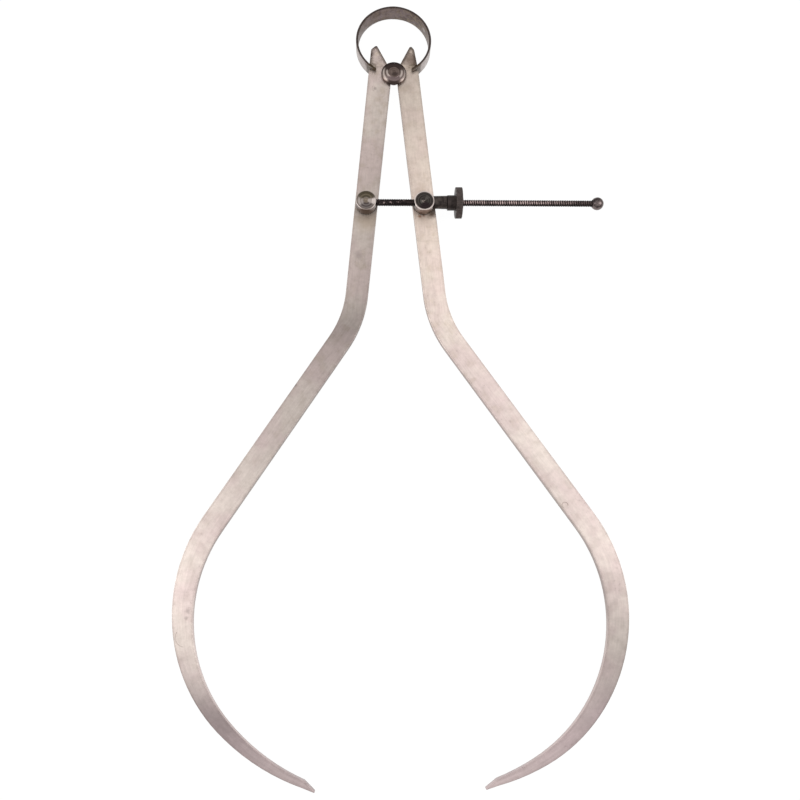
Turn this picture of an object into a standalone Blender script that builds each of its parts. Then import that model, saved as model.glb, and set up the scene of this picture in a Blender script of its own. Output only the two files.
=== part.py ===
"""Outside spring caliper of the 12 inch size, lying flat on its back.

The legs lie parallel to the XY plane and open along X. The bow spring is towards +Y, the points are
towards -Y, the adjusting screw runs along X with its ball at +X, and +Z is the front. The origin is in
the middle of the footprint, in the plane of the spring's rear edge and the posts' riveted ends. Lengths
are in metres.
"""
import math
from typing import NamedTuple

import bmesh
import bpy
from mathutils import Vector

MM = 0.001

# Clearances
SEAT_GAP = 0.3 * MM  # between faces that bear on each other
BORE_GAP = 0.25 * MM  # all round the adjusting screw
CUT_OVERRUN = 2.0 * MM  # how far a cutter runs past what it cuts

# Place of the fulcrum axis, seen from the middle of the footprint
FULCRUM_ACROSS = -1.52 * MM
FULCRUM_ALONG = 135.47 * MM

# Legs, drawn as a tapering strip along a centreline of straights and arcs
LEG_THICKNESS = 3.2 * MM
LEG_EDGE_SOFTENING = 0.25 * MM
LEG_OFFSET = 6.35 * MM  # centreline from the fulcrum axis, level with it
SHANK_LEAN = math.radians(5.65)
SHANK_LENGTH = 105.4 * MM
BEND_RADIUS = 47.5 * MM
DIAGONAL_LENGTH = 91.4 * MM
TOE_RADIUS = 86.5 * MM
POINT_RADIUS = 0.3 * MM
LEG_WIDTH = 9.6 * MM


class LegShape(NamedTuple):
    """What differs from leg to leg, each being bent and filed by hand."""

    fulcrum_width: float  # level with the fulcrum axis
    ear_edge_lean: float  # of the outer edge above the spring's notch
    diagonal_lean: float
    bow_radius: float
    toe_start_lean: float  # where the bow's arc passes into the toe's flatter one
    toe_lean: float
    toe_width: float
    taper_power: float  # how late the taper from leg to toe sets in
    point_length: float  # bevelled point, along its outer edge


LEFT_SHAPE = LegShape(
    fulcrum_width=10.45 * MM,
    ear_edge_lean=math.radians(5.7),
    diagonal_lean=math.radians(33.6),
    bow_radius=62.7 * MM,
    toe_start_lean=math.radians(-43.3),
    toe_lean=math.radians(-68.6),
    toe_width=2.65 * MM,
    taper_power=1.35,
    point_length=6.3 * MM,
)
RIGHT_SHAPE = LegShape(
    fulcrum_width=10.0 * MM,
    ear_edge_lean=math.radians(9.5),
    diagonal_lean=math.radians(34.7),
    bow_radius=63.8 * MM,
    toe_start_lean=math.radians(-60.0),
    toe_lean=math.radians(-73.5),
    toe_width=2.4 * MM,
    taper_power=1.75,
    point_length=6.7 * MM,
)

# Ears, the legs' upper ends
EAR_LEAN = math.radians(26.4)
EAR_CLEARANCE = 0.2 * MM  # inner edge from the line through the fulcrum axis
EAR_HEIGHT = 15.2 * MM
EAR_SHOULDER_DROP = 2.2 * MM
EAR_TIP_RADIUS = 0.8 * MM
EAR_SHOULDER_RADIUS = 1.8 * MM

# Fulcrum stud, whose waist the legs' half-round notches grip
FULCRUM_WAIST_RADIUS = 2.1 * MM
FULCRUM_HEAD_RADIUS = 5.7 * MM
FULCRUM_HEAD_SEAT_RADIUS = 4.9 * MM  # of the head's face towards the legs
FULCRUM_RIM_HEIGHT = 0.7 * MM  # from that face to the head's widest place
FULCRUM_DOME_HEIGHT = 1.5 * MM
FULCRUM_END_RADIUS = 2.9 * MM  # of the spread rear end
FULCRUM_END_THICKNESS = 0.9 * MM
FULCRUM_END_CHAMFER = 0.5 * MM

# Bow spring, a flat strip bent to an open ring, narrowing towards its forked ends
SPRING_RADIUS = 17.25 * MM  # outer
SPRING_CENTRE_HEIGHT = 16.4 * MM
SPRING_THICKNESS = 1.0 * MM
SPRING_WIDTH = 8.2 * MM  # at the middle of the bow
SPRING_END_WIDTH = 6.8 * MM
SPRING_END_ANGLE = math.radians(29.5)  # from the bottom of the ring to each end
HOOK_NOTCH_RADIUS = 1.5 * MM

# Swivel posts that carry the adjusting screw in front of the legs
POST_STATION = 64.4 * MM  # along the leg's centreline
POST_RADIUS = 4.25 * MM
POST_HEIGHT = 5.1 * MM  # above the legs' front face
POST_CHAMFER = 0.45 * MM
POST_SHANK_RADIUS = 2.5 * MM
WASHER_RADIUS = 4.0 * MM
WASHER_THICKNESS = 0.9 * MM
RIVET_HEAD_RADIUS = 3.3 * MM
RIVET_CHAMFER = 0.5 * MM

# Adjusting screw, its ball, the thrust sleeve and the knurled nut
SCREW_RADIUS = 1.35 * MM
SCREW_AXIS_HEIGHT = 2.85 * MM  # above the legs' front face
SCREW_LENGTH = 101.8 * MM  # from the left post's axis to the ball's centre
SCREW_SEAT_DEPTH = 2.6 * MM  # how far the left post's bore runs past its axis
SCREW_END_CHAMFER = 0.3 * MM
BALL_RADIUS = 2.8 * MM
SLEEVE_LENGTH = 9.8 * MM  # from the right post's axis to the sleeve's end
SLEEVE_RADIUS = 2.6 * MM
SLEEVE_END_RADIUS = 2.8 * MM
HUB_LENGTH = 3.5 * MM
HUB_RADIUS = 3.3 * MM
DISC_THICKNESS = 2.9 * MM
DISC_RADIUS = 6.8 * MM
DISC_CHAMFER = 0.45 * MM
BOSS_LENGTH = 0.5 * MM
BOSS_RADIUS = 2.75 * MM
NUT_EDGE_CHAMFER = 0.25 * MM
KNURL_TEETH = 54
KNURL_DEPTH = 0.25 * MM

# Smoothness
SMOOTH_ANGLE = math.radians(30.0)
ARC_STEP = math.radians(3.0)
NOTCH_STEP = math.radians(12.0)
TURNED_SIDES = 40
MERGE_SHARE = 0.0005  # of a profile's reach, within which its points join on the axis

# Colours and finishes: colour, metallic, roughness
PALE_STEEL = ((0.60, 0.55, 0.51, 1.0), 0.85, 0.42)
SPRING_STEEL = ((0.30, 0.27, 0.26, 1.0), 0.90, 0.35)
DARK_POLISHED = ((0.26, 0.24, 0.23, 1.0), 1.00, 0.20)
TURNED_STEEL = ((0.46, 0.43, 0.40, 1.0), 0.95, 0.28)
BLACKENED = ((0.045, 0.038, 0.036, 1.0), 0.80, 0.40)

# Sizes that follow from the ones above; heights count from the plane on which the caliper lies
LEG_MID_HEIGHT = SPRING_WIDTH / 2
LEG_BACK_HEIGHT = LEG_MID_HEIGHT - LEG_THICKNESS / 2
LEG_FRONT_HEIGHT = LEG_MID_HEIGHT + LEG_THICKNESS / 2
SCREW_HEIGHT = LEG_FRONT_HEIGHT + SCREW_AXIS_HEIGHT
SPRING_MID_RADIUS = SPRING_RADIUS - SPRING_THICKNESS / 2
SPRING_SWEEP = math.pi - SPRING_END_ANGLE  # from the middle of the bow to each end
SCREW_BORE_RADIUS = SCREW_RADIUS + BORE_GAP


def clear_scene():
    for item in list(bpy.data.objects):
        bpy.data.objects.remove(item, do_unlink=True)


def steel(name, finish):
    """A Principled material from (colour, metallic, roughness)."""
    colour, metallic, roughness = finish
    material = bpy.data.materials.new(name)
    material.use_nodes = True
    shader = material.node_tree.nodes["Principled BSDF"]
    shader.inputs["Base Color"].default_value = colour
    shader.inputs["Metallic"].default_value = metallic
    shader.inputs["Roughness"].default_value = roughness
    material.diffuse_color = colour
    return material


def add_object(name, mesh_bm, finish=None):
    """Turn a bmesh into an object with its own material and smooth round faces."""
    bmesh.ops.recalc_face_normals(mesh_bm, faces=mesh_bm.faces)
    mesh = bpy.data.meshes.new(name)
    mesh_bm.to_mesh(mesh)
    mesh_bm.free()
    mesh.shade_smooth()
    mesh.set_sharp_from_angle(angle=SMOOTH_ANGLE)
    item = bpy.data.objects.new(name, mesh)
    bpy.context.collection.objects.link(item)
    if finish:
        mesh.materials.append(steel(name + "_steel", finish))
    return item


def carry(child, parent):
    """Parent a piece to what carries it, leaving it where it stands."""
    bpy.context.view_layer.update()
    child.parent = parent
    child.matrix_parent_inverse = parent.matrix_world.inverted()


def cut(item, cutter):
    """Subtract a cutter object, which stays in the file as a wire guide."""
    cutter.hide_render = True
    cutter.display_type = "WIRE"
    carry(cutter, item)
    boolean = item.modifiers.new("cut_" + cutter.name, "BOOLEAN")
    boolean.operation = "DIFFERENCE"
    boolean.solver = "EXACT"
    boolean.object = cutter


# Plane geometry


def arc_points(centre, radius, start, end, step):
    """Points of an arc from the start angle to the end angle, both ends included."""
    count = max(2, math.ceil(abs(end - start) / step))
    turns = [start + (end - start) * k / count for k in range(count + 1)]
    return [centre + radius * Vector((math.cos(a), math.sin(a))) for a in turns]


def along(heading):
    """Direction of travel for a heading measured from -Y, positive away from the other leg."""
    return Vector((math.sin(heading), -math.cos(heading)))


def outward(heading):
    """Direction square to the travel, towards the leg's outer edge."""
    return Vector((math.cos(heading), math.sin(heading)))


def crossing(point, direction, centre, radius, farther):
    """Where a line meets a circle: the crossing met last along the direction, or first."""
    foot = point + direction * (centre - point).dot(direction)
    reach = math.sqrt(radius**2 - (centre - foot).length_squared)
    return foot + direction * (reach if farther else -reach)


def angle_of(point, centre):
    return math.atan2(point.y - centre.y, point.x - centre.x)


def rounded_corner(before, corner, after, radius):
    """Points of the arc that rounds a corner of an outline."""
    back = (before - corner).normalized()
    ahead = (after - corner).normalized()
    half = back.angle(ahead) / 2
    centre = corner + (back + ahead).normalized() * radius / math.sin(half)
    start = angle_of(corner + back * radius / math.tan(half), centre)
    sweep = angle_of(corner + ahead * radius / math.tan(half), centre) - start
    sweep = (sweep + math.pi) % math.tau - math.pi
    return arc_points(centre, radius, start, start + sweep, NOTCH_STEP)


# Legs


def leg_stations(shape):
    """The right leg's centreline from the fulcrum's level to the toe, as (point, heading, width)."""
    point = Vector((LEG_OFFSET, 0))
    heading = SHANK_LEAN
    stations = [(point, heading, shape.fulcrum_width)]
    bow_length = shape.bow_radius * (shape.diagonal_lean - shape.toe_start_lean)
    taper_length = bow_length + TOE_RADIUS * (shape.toe_start_lean - shape.toe_lean)
    tapered = 0

    def add_station():
        share = (tapered / taper_length) ** shape.taper_power
        width = LEG_WIDTH + (shape.toe_width - LEG_WIDTH) * share
        stations.append((point, heading, width))

    def straight(length):
        nonlocal point
        point = point + along(heading) * length
        add_station()

    def arc(radius, end_heading, tapers):
        nonlocal point, heading, tapered
        count = math.ceil(abs(end_heading - heading) / ARC_STEP)
        turn = (end_heading - heading) / count
        chord = 2 * radius * math.sin(abs(turn) / 2)
        for _ in range(count):
            point = point + along(heading + turn / 2) * chord
            heading += turn
            tapered += radius * abs(turn) if tapers else 0
            add_station()

    straight(SHANK_LENGTH)
    arc(BEND_RADIUS, shape.diagonal_lean, tapers=False)
    straight(DIAGONAL_LENGTH)
    arc(shape.bow_radius, shape.toe_start_lean, tapers=True)
    arc(TOE_RADIUS, shape.toe_lean, tapers=True)
    return stations


def post_place():
    """The post's axis, seen from the fulcrum axis, on the right leg."""
    return Vector((LEG_OFFSET, 0)) + along(SHANK_LEAN) * POST_STATION


def hook_place(shape):
    """Where the middle of the spring's strip meets the right leg's outer edge."""
    point = Vector((LEG_OFFSET, 0)) + outward(SHANK_LEAN) * shape.fulcrum_width / 2
    upward = -along(SHANK_LEAN)
    ring_centre = Vector((0, SPRING_CENTRE_HEIGHT))
    return crossing(point, upward, ring_centre, SPRING_MID_RADIUS, farther=False)


def ear_outline(shape, inner_edge_top):
    """From the fulcrum notch round the ear to the hook notch, as a list of points."""
    fulcrum = Vector((0, 0))
    notch_radius = FULCRUM_WAIST_RADIUS + SEAT_GAP
    below, upward_inner = inner_edge_top
    notch_start = crossing(below, upward_inner, fulcrum, notch_radius, farther=False)
    ear_direction = Vector((math.sin(EAR_LEAN), math.cos(EAR_LEAN)))
    ear_line = Vector((math.cos(EAR_LEAN), -math.sin(EAR_LEAN))) * EAR_CLEARANCE
    notch_end = crossing(ear_line, ear_direction, fulcrum, notch_radius, farther=True)
    notch = arc_points(
        fulcrum,
        notch_radius,
        angle_of(notch_start, fulcrum),
        angle_of(notch_end, fulcrum),
        NOTCH_STEP,
    )
    tip = ear_line + ear_direction * (EAR_HEIGHT - ear_line.y) / ear_direction.y
    hook = hook_place(shape)
    upward = -along(shape.ear_edge_lean)
    hook_top = hook + upward * HOOK_NOTCH_RADIUS
    shoulder_height = EAR_HEIGHT - EAR_SHOULDER_DROP
    shoulder = hook_top + upward * (shoulder_height - hook_top.y) / upward.y
    turn = angle_of(hook_top, hook)
    return (
        notch
        + rounded_corner(notch_end, tip, shoulder, EAR_TIP_RADIUS)
        + rounded_corner(tip, shoulder, hook_top, EAR_SHOULDER_RADIUS)
        + arc_points(hook, HOOK_NOTCH_RADIUS, turn, turn + math.pi, NOTCH_STEP)
    )


def leg_outline(shape):
    """Closed outline of the right leg: down the outer edge, up the inner one and round the ear."""
    stations = leg_stations(shape)
    outer = [p + outward(h) * w / 2 for p, h, w in stations[1:]]
    inner = [p - outward(h) * w / 2 for p, h, w in stations]
    point = outer[-1] + along(shape.toe_lean) * shape.point_length
    nose = rounded_corner(outer[-1], point, inner[-1], POINT_RADIUS)
    inner_edge_top = (inner[1], (inner[0] - inner[1]).normalized())
    return outer + nose + inner[:0:-1] + ear_outline(shape, inner_edge_top)


def plate(outline, low, high):
    """A bmesh plate between two heights from a closed outline."""
    body = bmesh.new()
    face = body.faces.new([body.verts.new((x, y, low)) for x, y in outline])
    extruded = bmesh.ops.extrude_face_region(body, geom=[face])
    raised = [v for v in extruded["geom"] if isinstance(v, bmesh.types.BMVert)]
    bmesh.ops.translate(body, vec=(0, 0, high - low), verts=raised)
    return body


def make_leg(name, side, shape):
    """A leg cut from plate with softened edges; side is 1 for the right leg and -1 for the left."""
    body = plate([(side * p.x, p.y) for p in leg_outline(shape)], 0, LEG_THICKNESS)
    rims = [e for e in body.edges if e.verts[0].co.z == e.verts[1].co.z]
    bmesh.ops.bevel(
        body,
        geom=rims,
        offset=LEG_EDGE_SOFTENING,
        segments=2,
        profile=0.5,
        affect="EDGES",
        clamp_overlap=False,
    )
    leg = add_object(name, body, PALE_STEEL)
    leg.location = (0, 0, LEG_BACK_HEIGHT)
    place = post_place()
    hole = make_cylinder(
        name + "_post_hole",
        POST_SHANK_RADIUS + SEAT_GAP,
        LEG_BACK_HEIGHT - CUT_OVERRUN,
        LEG_FRONT_HEIGHT + CUT_OVERRUN,
    )
    hole.location = (side * place.x, place.y, 0)
    cut(leg, hole)
    return leg


# Turned pieces


def turned(profile, sides=TURNED_SIDES, closed=False):
    """A bmesh turned about Z from (radius, height) points; a closed profile makes a ring."""
    body = bmesh.new()
    start = math.pi / sides
    rim = [body.verts.new((r * math.cos(start), r * math.sin(start), h)) for r, h in profile]
    following = rim[1:] + rim[:1] if closed else rim[1:]
    edges = [body.edges.new(pair) for pair in zip(rim, following)]
    bmesh.ops.spin(
        body,
        geom=rim + edges,
        cent=(0, 0, 0),
        axis=(0, 0, 1),
        angle=math.tau,
        steps=sides,
        use_merge=True,
    )
    reach = max(radius for radius, _ in profile)
    bmesh.ops.remove_doubles(body, verts=body.verts, dist=reach * MERGE_SHARE)
    return body


def make_cylinder(name, radius, low, high):
    """A plain cylinder about Z, used as a cutter."""
    return add_object(name, turned([(0, low), (radius, low), (radius, high), (0, high)]))


def dome(radius, height, base):
    """Profile points of a low dome from its rim in to the axis."""
    steps = math.ceil(math.radians(90) / NOTCH_STEP)
    turns = [math.radians(90) * k / steps for k in range(steps)]
    rounds = [(radius * math.cos(t), base + height * math.sin(t)) for t in turns]
    return rounds + [(0, base + height)]


def make_fulcrum_stud():
    """The stud between the legs: a spread rear end, a waist and a domed front head."""
    rear_face = LEG_BACK_HEIGHT - SEAT_GAP
    rear_end = rear_face - FULCRUM_END_THICKNESS
    front_face = LEG_FRONT_HEIGHT + SEAT_GAP
    profile = [
        (0, rear_end),
        (FULCRUM_END_RADIUS - FULCRUM_END_CHAMFER, rear_end),
        (FULCRUM_END_RADIUS, rear_end + FULCRUM_END_CHAMFER),
        (FULCRUM_END_RADIUS, rear_face),
        (FULCRUM_WAIST_RADIUS, rear_face),
        (FULCRUM_WAIST_RADIUS, front_face),
        (FULCRUM_HEAD_SEAT_RADIUS, front_face),
    ]
    profile += dome(FULCRUM_HEAD_RADIUS, FULCRUM_DOME_HEIGHT, front_face + FULCRUM_RIM_HEIGHT)
    return add_object("fulcrum_stud", turned(profile), DARK_POLISHED)


def make_post(name, side, bore_start):
    """A swivel post: its head before the leg, its shank through it and the riveted end behind."""
    rivet_front = LEG_BACK_HEIGHT - 2 * SEAT_GAP - WASHER_THICKNESS
    seat = LEG_FRONT_HEIGHT + SEAT_GAP
    top = LEG_FRONT_HEIGHT + POST_HEIGHT
    profile = [
        (0, 0),
        (RIVET_HEAD_RADIUS - RIVET_CHAMFER, 0),
        (RIVET_HEAD_RADIUS, RIVET_CHAMFER),
        (RIVET_HEAD_RADIUS, rivet_front),
        (POST_SHANK_RADIUS, rivet_front),
        (POST_SHANK_RADIUS, seat),
        (POST_RADIUS, seat),
        (POST_RADIUS, top - POST_CHAMFER),
        (POST_RADIUS - POST_CHAMFER, top),
        (0, top),
    ]
    post = add_object(name, turned(profile), TURNED_STEEL)
    place = post_place()
    post.location = (side * place.x, place.y, 0)
    bore = make_cylinder(
        name + "_screw_bore", SCREW_BORE_RADIUS, bore_start, POST_RADIUS + CUT_OVERRUN
    )
    bore.location = (side * place.x, place.y, SCREW_HEIGHT)
    bore.rotation_euler = (0, math.radians(90), 0)
    cut(post, bore)
    return post


def make_washer(name, post):
    """The washer behind the leg, under the post's riveted end."""
    hole_radius = POST_SHANK_RADIUS + SEAT_GAP
    front = LEG_BACK_HEIGHT - SEAT_GAP
    back = front - WASHER_THICKNESS
    profile = [
        (hole_radius, front),
        (hole_radius, back),
        (WASHER_RADIUS, back),
        (WASHER_RADIUS, front),
    ]
    washer = add_object(name, turned(profile, closed=True), TURNED_STEEL)
    washer.location = post.location
    return washer


# Bow spring


def strip_outline(inner_radius, outer_radius, start, end):
    """Outline of a strip bent round the ring's centre; angles are counted from its bottom."""
    centre = Vector((0, SPRING_CENTRE_HEIGHT))
    bottom = -math.pi / 2
    outer = arc_points(centre, outer_radius, bottom + start, bottom + end, 2 * ARC_STEP)
    inner = arc_points(centre, inner_radius, bottom + end, bottom + start, 2 * ARC_STEP)
    return outer + inner


def make_bow_spring():
    """An open ring of flat strip; each end is slotted, and its two prongs straddle a leg."""
    outline = strip_outline(
        SPRING_RADIUS - SPRING_THICKNESS,
        SPRING_RADIUS,
        SPRING_END_ANGLE,
        math.tau - SPRING_END_ANGLE,
    )
    ring = plate(outline, 0, SPRING_WIDTH)
    for vertex in ring.verts:
        from_top = abs(math.atan2(vertex.co.x, vertex.co.y - SPRING_CENTRE_HEIGHT))
        width = SPRING_WIDTH + (SPRING_END_WIDTH - SPRING_WIDTH) * from_top / SPRING_SWEEP
        vertex.co.z = LEG_MID_HEIGHT + (vertex.co.z / SPRING_WIDTH - 1 / 2) * width
    spring = add_object("bow_spring", ring, SPRING_STEEL)
    web_reach = math.sqrt((HOOK_NOTCH_RADIUS - SEAT_GAP) ** 2 - (SPRING_THICKNESS / 2) ** 2)
    past_end = SPRING_END_ANGLE - CUT_OVERRUN / SPRING_MID_RADIUS
    for name, side, shape in (("left_slot", -1, LEFT_SHAPE), ("right_slot", 1, RIGHT_SHAPE)):
        hook_angle = math.asin(hook_place(shape).x / SPRING_MID_RADIUS)
        slot_outline = strip_outline(
            SPRING_RADIUS - SPRING_THICKNESS - CUT_OVERRUN,
            SPRING_RADIUS + CUT_OVERRUN,
            side * past_end,
            side * (hook_angle - web_reach / SPRING_MID_RADIUS),
        )
        slot = plate(slot_outline, LEG_BACK_HEIGHT - SEAT_GAP, LEG_FRONT_HEIGHT + SEAT_GAP)
        cut(spring, add_object(name, slot))
    return spring


# Adjusting screw and nut


def lay_along_x(item, start):
    """Turn a piece made about Z so that it runs along X from a place on the screw's axis."""
    item.location = (start, post_place().y, SCREW_HEIGHT)
    item.rotation_euler = (0, math.radians(90), 0)


def make_adjusting_screw():
    """The screw's plain core, from its seat in the left post to its end in the ball."""
    left_end = SEAT_GAP - SCREW_SEAT_DEPTH
    right_end = SCREW_LENGTH - SEAT_GAP
    profile = [
        (0, left_end),
        (SCREW_RADIUS - SCREW_END_CHAMFER, left_end),
        (SCREW_RADIUS, left_end + SCREW_END_CHAMFER),
        (SCREW_RADIUS, right_end - SCREW_END_CHAMFER),
        (SCREW_RADIUS - SCREW_END_CHAMFER, right_end),
        (0, right_end),
    ]
    screw = add_object("adjusting_screw", turned(profile), BLACKENED)
    lay_along_x(screw, -post_place().x)
    return screw


def make_screw_ball():
    """The ball that keeps the nut on the screw, bored to its centre for the screw's end."""
    mouth = math.acos(SCREW_BORE_RADIUS / BALL_RADIUS)
    steps = math.ceil((math.radians(90) + mouth) / NOTCH_STEP)
    turns = [-mouth + (math.radians(90) + mouth) * k / steps for k in range(steps)]
    round_face = [(BALL_RADIUS * math.cos(t), BALL_RADIUS * math.sin(t)) for t in turns]
    profile = [(0, 0), (SCREW_BORE_RADIUS, 0)] + round_face + [(0, BALL_RADIUS)]
    ball = add_object("screw_ball", turned(profile), BLACKENED)
    lay_along_x(ball, SCREW_LENGTH - post_place().x)
    return ball


def make_thrust_sleeve(post):
    """The sleeve between post and nut; its saddle end fits round the post."""
    profile = [
        (SCREW_BORE_RADIUS, 0),
        (SLEEVE_RADIUS, 0),
        (SLEEVE_END_RADIUS, SLEEVE_LENGTH),
        (SCREW_BORE_RADIUS, SLEEVE_LENGTH),
    ]
    sleeve = add_object("thrust_sleeve", turned(profile, closed=True), BLACKENED)
    lay_along_x(sleeve, post_place().x)
    saddle = make_cylinder(
        "sleeve_saddle",
        POST_RADIUS + SEAT_GAP,
        LEG_FRONT_HEIGHT,
        LEG_FRONT_HEIGHT + POST_HEIGHT + CUT_OVERRUN,
    )
    saddle.location = post.location
    cut(sleeve, saddle)
    return sleeve


def make_adjusting_nut():
    """A knurled disc with a hub towards the sleeve and a low boss towards the ball."""
    disc_start = HUB_LENGTH
    disc_end = disc_start + DISC_THICKNESS
    boss_end = disc_end + BOSS_LENGTH
    profile = [
        (SCREW_BORE_RADIUS, 0),
        (HUB_RADIUS - NUT_EDGE_CHAMFER, 0),
        (HUB_RADIUS, NUT_EDGE_CHAMFER),
        (HUB_RADIUS, disc_start),
        (DISC_RADIUS - DISC_CHAMFER, disc_start),
        (DISC_RADIUS, disc_start + DISC_CHAMFER),
        (DISC_RADIUS, disc_end - DISC_CHAMFER),
        (DISC_RADIUS - DISC_CHAMFER, disc_end),
        (BOSS_RADIUS, disc_end),
        (BOSS_RADIUS, boss_end),
        (SCREW_BORE_RADIUS, boss_end),
    ]
    body = turned(profile, sides=2 * KNURL_TEETH, closed=True)
    root_share = 1 - KNURL_DEPTH / DISC_RADIUS
    for vertex in body.verts:
        side = math.floor(math.atan2(vertex.co.y, vertex.co.x) / math.tau * 2 * KNURL_TEETH)
        on_rim = vertex.co.xy.length > DISC_RADIUS - DISC_CHAMFER / 2
        if on_rim and side % 2:
            vertex.co.x *= root_share
            vertex.co.y *= root_share
    nut = add_object("adjusting_nut", body, BLACKENED)
    lay_along_x(nut, post_place().x + SLEEVE_LENGTH + SEAT_GAP)
    return nut


def main():
    clear_scene()
    stud = make_fulcrum_stud()
    spring = make_bow_spring()
    left_leg = make_leg("left_leg", -1, LEFT_SHAPE)
    right_leg = make_leg("right_leg", 1, RIGHT_SHAPE)
    left_post = make_post("left_post", -1, -SCREW_SEAT_DEPTH)
    right_post = make_post("right_post", 1, -POST_RADIUS - CUT_OVERRUN)
    left_washer = make_washer("left_post_washer", left_post)
    right_washer = make_washer("right_post_washer", right_post)
    screw = make_adjusting_screw()
    ball = make_screw_ball()
    sleeve = make_thrust_sleeve(right_post)
    nut = make_adjusting_nut()
    for child, parent in (
        (spring, stud),
        (left_leg, stud),
        (right_leg, stud),
        (left_post, left_leg),
        (right_post, right_leg),
        (left_washer, left_post),
        (right_washer, right_post),
        (screw, left_post),
        (ball, screw),
        (sleeve, right_post),
        (nut, right_post),
    ):
        carry(child, parent)
    stud.location = (FULCRUM_ACROSS, FULCRUM_ALONG, 0)


main()
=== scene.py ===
"""The outside spring caliper as photographed: steel finishes, turned and threaded detail, studio and camera.

Lengths are in metres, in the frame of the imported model: the caliper lies on its back on the XY plane, its
points are towards -Y and +Z is the front.
"""
import math
from typing import NamedTuple

import bmesh
import bpy
from mathutils import Matrix, Vector


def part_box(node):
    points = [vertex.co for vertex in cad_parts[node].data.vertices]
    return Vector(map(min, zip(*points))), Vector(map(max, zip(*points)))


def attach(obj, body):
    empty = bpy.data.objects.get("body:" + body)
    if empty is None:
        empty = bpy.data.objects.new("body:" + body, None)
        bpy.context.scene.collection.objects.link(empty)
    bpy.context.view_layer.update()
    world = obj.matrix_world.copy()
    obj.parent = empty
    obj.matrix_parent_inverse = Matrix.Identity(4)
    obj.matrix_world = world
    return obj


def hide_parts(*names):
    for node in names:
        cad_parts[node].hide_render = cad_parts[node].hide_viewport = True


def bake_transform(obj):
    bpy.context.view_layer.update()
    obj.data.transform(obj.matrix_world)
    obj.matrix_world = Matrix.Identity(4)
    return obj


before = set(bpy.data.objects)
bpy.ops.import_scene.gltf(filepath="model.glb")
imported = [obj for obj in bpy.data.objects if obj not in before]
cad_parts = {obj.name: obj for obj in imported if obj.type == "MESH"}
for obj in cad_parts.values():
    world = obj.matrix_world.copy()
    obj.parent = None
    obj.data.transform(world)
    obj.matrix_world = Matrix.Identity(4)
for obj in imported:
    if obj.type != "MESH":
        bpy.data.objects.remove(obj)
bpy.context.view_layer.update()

MM = 0.001
FAR = 2.0  # past every piece, as a height or as a share of a radius
QUARTER = math.radians(90.0)


def mm(*values):
    """Lengths given in millimetres."""
    return tuple(value * MM for value in values)


def srgb(red, green, blue):
    """A linear colour from the 0 to 255 values in which it shows."""
    shares = [value / 255 for value in (red, green, blue)]
    linear = [s / 12.92 if s <= 0.04045 else ((s + 0.055) / 1.055) ** 2.4 for s in shares]
    return (*linear, 1.0)


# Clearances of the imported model
SEAT_GAP = 0.3 * MM
BORE_GAP = 0.25 * MM
CUT_OVERRUN = 1.0 * MM  # how far a cutter runs past what it cuts

# Turned pieces; a groove or ring is (radius, half width, depth)
TURNED_SIDES = 96
SMALL_SIDES = 48
SMOOTH_ANGLE = math.radians(32.0)
MERGE_DISTANCE = 0.001 * MM

# Fulcrum stud
STUD_END_RADIUS = 2.9 * MM
STUD_END_CHAMFER = 0.5 * MM
STUD_WAIST_RADIUS = 2.1 * MM
STUD_SEAT_RADIUS = 4.9 * MM
STUD_SEAT_GAP = 0.05 * MM
STUD_DOME_HEIGHT = 1.5 * MM
STUD_DOME_STEPS = 40
STUD_GROOVES = (mm(2.95, 0.22, 0.14), mm(1.9, 0.16, 0.05), mm(0.9, 0.16, 0.04), mm(0, 0.3, 0.12))

# Swivel posts
RIVET_RADIUS = 3.3 * MM
RIVET_CHAMFER = 0.5 * MM
POST_SHANK_RADIUS = 2.5 * MM
POST_SEAT_CHAMFER = 0.1 * MM
POST_CHAMFER = 0.22 * MM
POST_SPREAD = 0.2 * MM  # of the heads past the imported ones
POST_LIFT = 0.2 * MM
POST_FACE_STEPS = 36
DISH_MARGIN = 0.08 * MM
DISH_POWER = 6
LEFT_POST_DISH = 0.1 * MM
RIGHT_POST_DISH = 0.22 * MM
LEFT_POST_RINGS = (mm(3.0, 0.14, 0.05), mm(2.1, 0.16, 0.06), mm(1.2, 0.14, 0.05), mm(0, 0.35, 0.2))
RIGHT_POST_RINGS = (mm(2.7, 0.18, 0.06), mm(1.6, 0.18, 0.06), mm(0, 0.5, 0.3))

# Screw thread
THREAD_PITCH = 1.0 * MM
THREAD_DEPTH = 0.19 * MM
THREAD_RISE = 0.2 * MM  # of the crests above the plain screw
WORN_THREAD_RISE = 0.06 * MM  # where the nut has run
WORN_THREAD_START = 40.0 * MM
THREAD_END_LENGTH = 0.35 * MM
THREAD_END_SHARE = 0.78  # of the radius, at the very ends
THREAD_FLANK_SLOPE = 2.6
THREAD_CREST_FLAT = 0.2
THREAD_SAMPLES = 8  # to each turn
THREAD_SIDES = 20
NUT_PLACE = 42.0 * MM  # along the screw
CREST_FADE = 1.0 * MM
FLECK_SIZE = 1.7 * MM
FLECK_FADE_START = 30.0 * MM  # beyond the nut
FLECK_FADE_END = 60.0 * MM

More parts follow.
